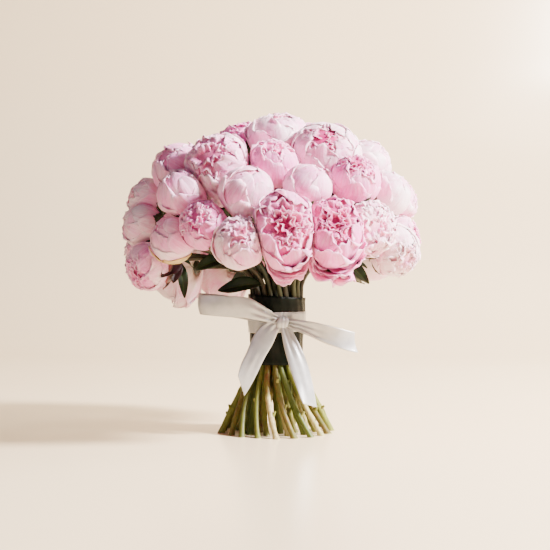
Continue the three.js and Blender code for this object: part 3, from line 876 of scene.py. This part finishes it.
def stemLine(bloom):
    # the middle of a stem from its foot to its calyx, and its radius there
    dice = bloom["dice"]
    place = bloom["place"]
    low = [tiePoint(place, z) for z in np.linspace(0, ties["low"], ties["footSteps"])]
    tie = [tiePoint(place, z) for z in np.linspace(ties["low"], ties["high"], ties["tieSteps"] + 1)[1:]]
    top = [stemPoint(bloom, t) for t in np.linspace(0, 1, ties["topSteps"] + 1)[1:]]
    flare = [calyxPoint(bloom, below) for below in ties["calyxSteps"]]
    line = np.array(low + tie + top + flare)
    rest = 1 - np.linspace(0, 1, len(low))[:, None]
    sway = np.sin(rest * math.pi) * stray(dice, ties["footSway"], (1, 3))
    sway += rest ** 1.5 * stray(dice, ties["footStray"], (1, 3))
    sway[:, 2] = 0
    line[:len(low)] += sway
    radii = np.full(len(line), ties["stemRadius"]) * dice.uniform(*ties["radii"])
    radii[len(low) + len(tie):-3] *= ties["slimmer"]
    radii[-3:] = [ties["calyxWide"] * share for share in ties["calyxFlare"]]
    bloom["joints"] = dice.choice(np.arange(2, len(low) - 1), 2, replace=False)
    radii[bloom["joints"]] *= dice.uniform(*ties["joints"])
    radii[:2] *= [dice.uniform(*swell) for swell in ties["feet"]]
    return line, radii


# what is left of a leaf stalk at a joint, its lengths in metres
stub = {
    "lean": (20, 60),  # degrees up
    "step": (0.0018, 0.003),  # from each of its rings to the next
    "bend": 0.0002,
    "taper": (0.75, 0.4),  # of a stem's radius
    "lowest": 0.001,
}


def formStub(bloom, line, template):
    dice = bloom["dice"]
    rings, turns = tubeRings(template)
    joint = bloom["joints"][0]
    out = heading(dice.uniform(-180, 180), dice.uniform(*stub["lean"]))
    steps = np.arange(rings.max() + 1)[:, None]
    bent = line[joint] + out * steps * dice.uniform(*stub["step"])
    bent = bent + np.array([0, 0, 1]) * steps ** 2 * stub["bend"]
    radii = ties["stemRadius"] * np.linspace(*stub["taper"], rings.max() + 1)
    points, _ = sweep(bent, radii, rings, turns, np.array([0.3, 0.9, 0.1]))
    points[:, 2] = np.maximum(points[:, 2], stub["lowest"])
    marks = marked(len(rings), 0.1, 0.2, 0.9, 0.3 * (dice.uniform() < 0.3))
    return shaped(template, "stem", points, marks)


def formStem(bloom, template):
    dice = bloom["dice"]
    rings, turns = tubeRings(template)
    line, radii = stemLine(bloom)
    bloom["line"] = line
    points, along = sweep(line, radii, rings, turns, bloom["side"])
    foot = rings == 0
    points[foot] -= along[0] * (points[foot, 2] / along[0][2])[:, None]
    bare = np.clip((ties["bareBelow"] - points[:, 2]) / 0.004, 0, 1)
    if bloom["number"] not in bareStems:
        bare = bare * (dice.uniform() < 0.08)
    red = 1.0 if bloom["number"] in redStems else np.clip(dice.uniform(-1.9, 0.8), 0, 1)
    marks = marked(len(rings), red, rings / rings.max(), dice.uniform(), bare)
    return shaped(template, "stem", points, marks)


def makeStemFinish():
    f = Finish("stemGreen")
    red, along, chance, peeled = f.attribute("stem")
    streaks = f.noise(f.stretched(f.object(), (420.0, 420.0, 26.0)), 1.0, 3.0, 0.6)
    spots = f.noise(f.object(), 160.0, 2.0)
    height = f.parts(f.object())[2]
    green = f.mix(chance, tone(78, 92, 26), tone(126, 130, 48))
    warm = f.mix((red * (spots * 1.6 - 0.25)).clamped(), green, tone(110, 54, 30))
    streaked = f.mix(streaks.between(0.35, 0.7) * 0.45, warm, tone(50, 60, 20))
    bare = f.mix(peeled * streaks.between(0.25, 0.6) * 0.85, streaked, tone(190, 174, 120))
    # near black from the sleeve up to the blooms: painted shade under the blooms, laid over the stems'
    # own browner tone
    shadedUnderBlooms = f.mix(along.between(0.36, 0.46) * 0.88, bare, tone(19, 14, 7))
    cut = f.mix(1 - height.between(0.0002, 0.0012), shadedUnderBlooms, tone(160, 150, 92))
    return f.finish(
        Base_Color=cut, Roughness=0.44 + streaks * 0.25, Coat_Weight=0.06, Coat_Roughness=0.3,
        Normal=f.bump(streaks + spots * 0.6, 0.5, 0.0009), Specular_IOR_Level=0.3)


# sepals round each bloom's foot, in layers as its petals are
sepalLayers = [
    (3, 14, 66, 8, 30, 1.02, 1.06, 1.05, 0.012, 0.012, 2),
    (2, 14, 78, 12, 14, 1.03, 1.08, 1.10, 0.000, 0.010, 1),
]
sepalColours = {18: 0.55, 22: 1.0}  # 0.5 yellow and 1 maroon on these rows, or else green
sepalReaches = {18: 1.5, 22: 1.2}  # how far up their blooms these rows' reach beside the others

# each leaf: its bloom's row, its place on the stem from the sleeve (0) to the calyx (1), the degrees
# round and up that it points, length, width and how many degrees it is turned about its own rib
leafRows = [
    (22, 0.93, -57, -66, 0.048, 0.014, 0),
    (22, 0.90, -35, -22, 0.022, 0.008, 40),
    (22, 0.93, -110, -22, 0.046, 0.021, 45),
    (18, 0.62, -150, -16, 0.044, 0.020, 50),
    (17, 0.55, -110, -28, 0.040, 0.018, 30),
    (18, 0.10, 178, -6, 0.056, 0.021, 58),
    (13, 0.72, -30, -34, 0.036, 0.015, 0),
    (11, 0.62, -12, -40, 0.056, 0.020, 62),
    (29, 0.60, 20, -20, 0.050, 0.018, 60),
    (27, 0.55, 80, -22, 0.044, 0.016, 0),
    (26, 0.50, 140, -22, 0.046, 0.018, -50),
    (10, 0.60, -8, -20, 0.042, 0.015, 30),
    (22, 0.95, -95, -52, 0.032, 0.017, 20),
    (13, 0.80, -38, -30, 0.036, 0.014, 0),
    (0, 0.78, -95, -4, 0.052, 0.022, 0),
    (0, 0.70, -20, -2, 0.056, 0.023, 0),
    (0, 0.62, 60, 4, 0.054, 0.022, 0),
    (0, 0.74, 150, 0, 0.056, 0.023, 0),
    (0, 0.60, -150, 4, 0.054, 0.022, 0),
    (3, 0.72, -10, 2, 0.046, 0.020, 0),
    (35, 0.72, -60, 2, 0.050, 0.020, 0),
    (6, 0.62, 10, 16, 0.060, 0.028, 20),
    (6, 0.66, -86, 24, 0.054, 0.026, 0),
    (8, 0.60, 60, 24, 0.056, 0.026, 0),
    (39, 0.60, 70, 20, 0.058, 0.028, 0),
    (2, 0.60, 96, 22, 0.056, 0.026, 0),
    (38, 0.66, 170, 6, 0.058, 0.028, 0),
    (37, 0.66, -60, 18, 0.054, 0.024, 0),
]

leaves = {
    "maroonRows": (2, 12),
    "fold": 0.16,
    "droop": 0.12,
    "thickness": 0.0006,
}


def formLeaf(blooms, row, u, v, dice):
    number, at, around, up, long, wide, turned = row
    root = stemPoint(blooms[number], at)
    along = heading(around, up)
    side = unit(np.cross(along, (0, 0, 1)))
    face = np.cross(side, along)
    turned = math.radians(turned)
    side, face = (side * math.cos(turned) + face * math.sin(turned),
                  face * math.cos(turned) - side * math.sin(turned))
    share = np.sin(math.pi * (0.04 + 0.94 * v)) ** 0.85
    wave = 0.05 * wide * np.sin(9 * v + dice.uniform(0, 6)) * np.abs(u)
    rise = wide * share * leaves["fold"] * np.abs(u) ** 0.8 * 1.3 - long * leaves["droop"] * v * v + wave
    points = (root + np.outer(long * v, along) + np.outer(u * wide * share / 2, side)
              + np.outer(rise, face))
    maroon = float(leafRows.index(row) in leaves["maroonRows"])
    return points, marked(len(v), np.abs(u), v, maroon, dice.uniform())


def makeLeafFinish():
    f = Finish("leafGreen")
    rib, along, maroon, chance = f.attribute("leaf")
    mottle = f.noise(f.object(), 90.0, 3.0)
    veins = f.noise(f.stretched(f.uv(), (3.0, 16.0, 1.0)), 1.0, 2.0)
    green = f.mix(mottle.between(0.35, 0.7), tone(12, 25, 8), tone(25, 42, 15))
    ribbed = f.mix((1 - rib.between(0.02, 0.16)) * 0.8, green, tone(48, 64, 28))
    dark = f.mix(maroon * 0.9, ribbed, tone(44, 12, 20))
    tipped = f.mix(along.between(0.8, 1.0) * chance * 0.5, dark, tone(60, 40, 22))
    return f.finish(
        Base_Color=tipped, Roughness=0.4 + mottle * 0.2, Specular_IOR_Level=0.35,
        Normal=f.bump(veins + rib.between(0.0, 0.15) * 0.6, 0.45, 0.0006),
        Subsurface_Weight=0.08, Subsurface_Radius=(0.4, 1.0, 0.2), Subsurface_Scale=0.002)


def makeSepalFinish():
    f = Finish("sepalGreen")
    rim, depth, _, kind = f.attribute("petal")
    mottle = f.noise(f.object(), 120.0, 3.0)
    streaks = f.noise(f.stretched(f.uv(), (22.0, 2.0, 1.0)), 1.0, 2.0)
    body = f.node("ShaderNodeValToRGB", {"stops": [
        (0.0, tone(30, 46, 14)), (0.35, tone(48, 54, 20)), (0.55, tone(206, 182, 118)),
        (0.75, tone(90, 40, 40)), (1.0, tone(48, 14, 24))]}, {"Fac": kind})
    pale = f.mix((depth * 0.4 + mottle.between(0.45, 0.75) * 0.3).clamped(), body, tone(74, 80, 34))
    edged = f.mix(rim * kind, pale, tone(176, 66, 78))
    return f.finish(
        Base_Color=edged, Roughness=0.42 + mottle * 0.2, Normal=f.bump(streaks, 0.35, 0.0005),
        Specular_IOR_Level=0.45, Subsurface_Weight=0.1, Subsurface_Radius=(0.6, 0.8, 0.3),
        Subsurface_Scale=0.002)


def makeStems(blooms):
    assignStems(blooms)
    stemFinish, leafFinish, sepalFinish = makeStemFinish(), makeLeafFinish(), makeSepalFinish()
    rings = ties["footSteps"] + ties["tieSteps"] + ties["topSteps"] + 3
    tube = addTube("stemTube", rings, ties["stemSides"], stemFinish)
    stubTube = addTube("stubTube", 4, 8, stemFinish)
    sepalGrid = addGrid("sepalGrid", 6, 6, sepalFinish)
    leafGrid = addGrid("leafGrid", 8, 14, leafFinish)
    sepalPlaces, leafPlaces = places(sepalGrid), places(leafGrid)
    groups = {}
    for bloom in blooms:
        blades = []
        for depth, layer in enumerate(sepalLayers):
            for k in range(0 if bloom["number"] in smoothHanging else layer[0]):
                turn = bloom["dice"].uniform(0, 360) / 5 + 360 / layer[0] * k + 70 * depth
                longer = (*layer[:2], layer[2] * sepalReaches.get(bloom["number"], 1), *layer[3:])
                points, marks = formPetal(bloom, longer, turn, *sepalPlaces)
                marks[:, 3] = sepalColours.get(bloom["number"], bloom["dice"].uniform(0, 0.35))
                blades.append(shaped(sepalGrid, "petal", points, marks))
        pieces = groups.setdefault(bloom["place"]["group"], [])
        if blades:
            pieces.append(thickened(joined(blades, "sepals"), petal["thickness"], -1))
        pieces.extend([formStem(bloom, tube), formStub(bloom, bloom["line"], stubTube)])
    dice = np.random.default_rng(5)
    for row in leafRows:
        leaf = shaped(leafGrid, "leaf", *formLeaf(blooms, row, *leafPlaces, dice))
        leaf = thickened(leaf, leaves["thickness"])
        groups[blooms[row[0]]["place"]["group"]].append(leaf)
    for group, pieces in groups.items():
        node = f"stems_{group + 1:02d}"
        placed(joined(pieces, node + "_greens"), "stem_green", node)
    discard(tube, stubTube, sepalGrid, leafGrid)
    print("stems made:", len(groups), "groups")


# the sleeve round the stems, in metres
sleeve = {
    "low": 0.0845,
    "high": 0.169,
    "clear": 0.0052,
    "thickness": 0.0009,
    "slant": 0.0025,
    "overlap": 28,  # degrees
    "seam": 70,  # degrees round the bunch
    "ridge": 0.0004,
    "crease": 0.0006,
    "lap": 0.0012,  # that the end on top stands off the other
    "measuredUp": 0.04,  # from the lower edge to where the length is taken
}


def wrapRadius(z):
    return ties["outerRing"] * spreadAt(max(z, ties["low"])) + sleeve["clear"]


def makeSleeveFinish():
    f = Finish("sleeveSatin")
    weave = f.noise(f.stretched(f.uv(), (900.0, 500.0, 1.0)), 1.0, 1.0)
    folds = f.noise(f.stretched(f.object(), (40.0, 40.0, 70.0)), 1.0, 3.0)
    body = f.mix(folds.between(0.35, 0.7), tone(2, 7, 2), tone(5, 14, 5))
    return f.finish(
        Base_Color=body, Roughness=0.3 + folds * 0.16, Normal=f.bump(weave * 0.2 + folds, 0.5, 0.0012),
        Specular_IOR_Level=0.13)


def sleevePoints(turn, z, proud):
    # points of the sleeve's surface, or proud of it, with its ridges over the stems and its creases
    base = np.array([wrapRadius(height) for height in z]) + sleeve["thickness"] / 2
    follow = turn - np.radians(ties["footTurn"] * (ties["waist"] - z) / ties["waist"])
    ridge = sleeve["ridge"] * np.cos(20 * follow)
    crease = sleeve["crease"] * np.sin(3 * turn + 95 * z) * np.sin(2 * turn - 160 * z + 1)
    reach = base + ridge + crease + proud
    z = z - sleeve["slant"] * (z - sleeve["low"]) / (sleeve["high"] - sleeve["low"]) * np.cos(turn)
    return np.stack([reach * np.cos(turn), reach * np.sin(turn), z], axis=1)


def makeSleeve():
    grid = addGrid("sleeveGrid", 110, 30, makeSleeveFinish())
    u, v = places(grid)
    span = math.radians(360 + sleeve["overlap"])
    turn = math.radians(sleeve["seam"]) + (u + 1) / 2 * span
    lap = (u + 1) / 2 * sleeve["lap"] - sleeve["lap"] / 2
    z = sleeve["low"] + (sleeve["high"] - sleeve["low"]) * v
    piece = shaped(grid, "stem_sleeve", sleevePoints(turn, z, lap))
    piece.name = piece.data.name = "stem_sleeve"
    thickened(piece, sleeve["thickness"])
    placed(piece, "wrap_satin", "stem_wrap")
    around = wrapRadius(sleeve["low"] + sleeve["measuredUp"]) * span
    discard(grid)
    print("sleeve made")


# the ribbon, its lengths in metres
ribbon = {
    "wide": 0.025,
    "thickness": 0.0004,
    "height": 0.137,
    "tilt": 0.08,
    "knot": (0.0074, -0.0398, 0.137),
    "knotSize": (0.0070, 0.0055, 0.0078),
    "folds": 2.5,
    "foldDepth": 0.0035,
    "cup": 0.0022,
    "sway": 0.0018,
    "offSleeve": 0.0019,  # of the band
}

upright = (0, 0, 1)
# each strip: the places its middle goes through, the way its width points there, and the share of its
# width that shows, the rest being taken up in folds
ribbonStrips = {
    "leftLoop": [
        ((0.004, -0.037, 0.138), (0.1, 0, 1), 0.4),
        ((-0.014, -0.045, 0.147), (0.15, -0.1, 1), 0.7),
        ((-0.036, -0.052, 0.155), (0.1, -0.2, 1), 1),
        ((-0.066, -0.053, 0.157), (0.05, -0.25, 1), 1),
        ((-0.088, -0.046, 0.159), (0.05, -0.1, 1), 1),
        ((-0.095, -0.038, 0.160), upright, 1),
        ((-0.086, -0.032, 0.160), upright, 1),
        ((-0.060, -0.032, 0.157), upright, 1),
        ((-0.034, -0.037, 0.150), (0.1, 0, 1), 0.8),
        ((0.005, -0.0385, 0.138), (0.1, 0, 1), 0.4),
    ],
    "rightLoop": [
        ((0.009, -0.037, 0.137), (-0.3, 0, 1), 0.4),
        ((0.028, -0.046, 0.134), (-0.3, 0, 1), 0.6),
        ((0.050, -0.052, 0.127), (-0.15, -0.1, 1), 0.9),
        ((0.074, -0.052, 0.119), (-0.1, -0.1, 1), 1),
        ((0.091, -0.045, 0.114), (-0.05, 0, 1), 1),
        ((0.096, -0.037, 0.113), (-0.05, 0, 1), 1),
        ((0.087, -0.031, 0.115), (-0.1, 0, 1), 1),
        ((0.062, -0.033, 0.122), (-0.15, 0, 1), 1),
        ((0.036, -0.038, 0.130), (-0.2, 0, 1), 0.7),
        ((0.008, -0.0385, 0.137), (-0.3, 0, 1), 0.4),
    ],
    "leftTail": [
        ((0.004, -0.040, 0.139), (1, 0, -0.3), 0.5),
        ((-0.007, -0.042, 0.131), (0.88, 0, -0.47), 0.8),
        ((-0.016, -0.044, 0.117), (0.88, 0, -0.47), 1),
        ((-0.028, -0.047, 0.093), (0.88, 0, -0.47), 0.9),
        ((-0.043, -0.049, 0.061), (0.3, 0, -0.95), 1.05),
    ],
    "rightTail": [
        ((0.009, -0.040, 0.137), (1, 0.1, 0.2), 0.4),
        ((0.017, -0.043, 0.113), (0.88, 0.34, 0.35), 0.72),
        ((0.026, -0.047, 0.089), (0.80, 0.50, 0.32), 0.92),
        ((0.034, -0.051, 0.063), (0.76, 0.55, 0.24), 0.95),
        ((0.040, -0.055, 0.038), (0.80, 0.50, -0.22), 0.9),
    ],
}


def through(knots, along):
    # a smooth line through rows of numbers, along from 0 to 1
    knots = np.asarray(knots, float)
    place = np.clip(along, 0, 1) * (len(knots) - 1)
    i = np.minimum(place.astype(int), len(knots) - 2)
    t = (place - i)[:, None]
    before, after = knots[np.maximum(i - 1, 0)], knots[np.minimum(i + 2, len(knots) - 1)]
    here, there = knots[i], knots[i + 1]
    return 0.5 * (2 * here + (there - before) * t
                  + (2 * before - 5 * here + 4 * there - after) * t ** 2
                  + (3 * here - before - 3 * there + after) * t ** 3)


def formStrip(stations, u, v, seed):
    dice = np.random.default_rng(seed)
    middle = through([station[0] for station in stations], v)
    width = unitRows(through([station[1] for station in stations], v))
    share = through([[station[2]] for station in stations], v)[:, 0]
    step = 0.004
    ahead = through([station[0] for station in stations], v + step)
    behind = through([station[0] for station in stations], v - step)
    face = unitRows(np.cross(ahead - behind, width))
    gathered = np.clip(1 - share, 0, 1)
    fold = np.sin(u * math.pi * ribbon["folds"] + dice.uniform(0, 6)) * gathered * ribbon["foldDepth"]
    cup = (u ** 2 - 0.4) * ribbon["cup"] * np.sin(math.pi * v) * dice.choice([-1, 1])
    sway = np.sin(6 * v + dice.uniform(0, 6)) * u * ribbon["sway"]
    return (middle + width * (u * share * ribbon["wide"] / 2)[:, None]
            + face * (fold + cup + sway)[:, None])


def formBand(u, v):
    turn = v * 2 * math.pi - math.pi / 2 + 0.2
    z = ribbon["height"] + u * ribbon["wide"] / 2
    flat = ties["outerRing"] + sleeve["clear"]
    ripple = 0.00025 * np.sin(9 * turn + 200 * z) + 0.0003 * np.cos(3 * u + 2 * turn)
    tilted = z + ribbon["tilt"] * flat * np.cos(turn)
    return sleevePoints(turn, tilted, ribbon["offSleeve"] + ripple)


def formKnot(u, v):
    # a short turn of ribbon over the middle of the bow, its width drawn together in folds
    turn = (v - 0.5) * 2 * math.pi * 0.97
    wide, deep, tall = ribbon["knotSize"]
    fold = 1 + 0.07 * np.cos(u * math.pi * 3.2)
    x = ribbon["knot"][0] + u * wide * (0.86 + 0.14 * np.cos(turn) ** 2) + 0.1 * tall * np.sin(turn)
    y = ribbon["knot"][1] - np.cos(turn) * deep * fold * np.sqrt(1 - 0.45 * u ** 2)
    z = ribbon["knot"][2] + np.sin(turn) * tall * fold * np.sqrt(1 - 0.35 * u ** 2)
    return np.stack([x, y, z], axis=1)


def makeRibbonFinish():
    f = Finish("ribbonSatin")
    across = f.parts(f.uv())[0]
    threads = f.node("ShaderNodeTexWave", {"wave_type": "BANDS", "bands_direction": "Y"},
                     {"Vector": f.stretched(f.uv(), (1.0, 60.0, 1.0)), "Scale": 3.0, "Distortion": 0.4})
    cloud = f.noise(f.object(), 70.0, 2.0)
    selvedge = (across - 0.5).work("ABSOLUTE", across - 0.5).between(0.455, 0.475)
    body = f.mix(cloud.between(0.3, 0.7), tone(160, 161, 162), tone(184, 184, 184))
    edged = f.mix(selvedge * 0.35, body, tone(228, 216, 200))
    return f.finish(
        Base_Color=edged, Roughness=0.28 + cloud * 0.12, Metallic=0.25, Specular_IOR_Level=1.0,
        Anisotropic=0.5,
        Coat_Weight=0.3, Coat_Roughness=0.28,
        Normal=f.bump(threads * 0.3 + cloud * 0.6 + selvedge * 0.4, 0.15, 0.0004))


def makeRibbon():
    material = makeRibbonFinish()
    strip = addGrid("stripGrid", 14, 60, material)
    hoop = addGrid("hoopGrid", 10, 96, material)
    u, v = places(strip)
    pieces = [shaped(strip, "ribbon", formStrip(stations, u, v, seed))
              for seed, stations in enumerate(ribbonStrips.values())]
    pieces.append(shaped(strip, "ribbon", formKnot(u, v)))
    pieces.append(shaped(hoop, "ribbon", formBand(*places(hoop))))
    piece = joined(pieces, "ribbon_bow")
    area = sum(face.area for face in piece.data.polygons)
    thickened(piece, ribbon["thickness"])
    placed(piece, "ribbon_satin", "ribbon")
    print("ribbon area gives a length of", round(area / ribbon["wide"], 3))
    discard(strip, hoop)


def makeFloor():
    # flat near the camera, then a cove up to the backdrop
    near, far, radius = studio["floorNear"], studio["floorFar"], studio["coveRadius"]
    grid = addGrid("floor", 1, 60, makeFloorFinish())
    u, v = places(grid)
    flatShare, coveShare = 0.3, 0.8
    angle = np.clip((v - flatShare) / (coveShare - flatShare), 0, 1) * math.pi / 2
    y = np.where(v < flatShare, near + (far - near) * v / flatShare, far + radius * np.sin(angle))
    z = radius * (1 - np.cos(angle))
    z = z + np.maximum(v - coveShare, 0) / (1 - coveShare) * (studio["backdropTop"] - radius)
    points = np.stack([u * studio["halfWidth"], y, z], axis=1)
    grid.data.vertices.foreach_set("co", points.ravel())


def makeFloorFinish():
    f = Finish("floorPale")
    cloud = f.noise(f.object(), 1.2, 2.0)
    body = f.mix(cloud * 0.1, tone(*studio["floorTone"]), tone(255, 255, 255))
    return f.finish(Base_Color=body, Roughness=0.2 + cloud * 0.06, Specular_IOR_Level=0.5)


setStudio()
makeFloor()
blooms = makeBlooms()
makeStems(blooms)
makeSleeve()
makeRibbon()
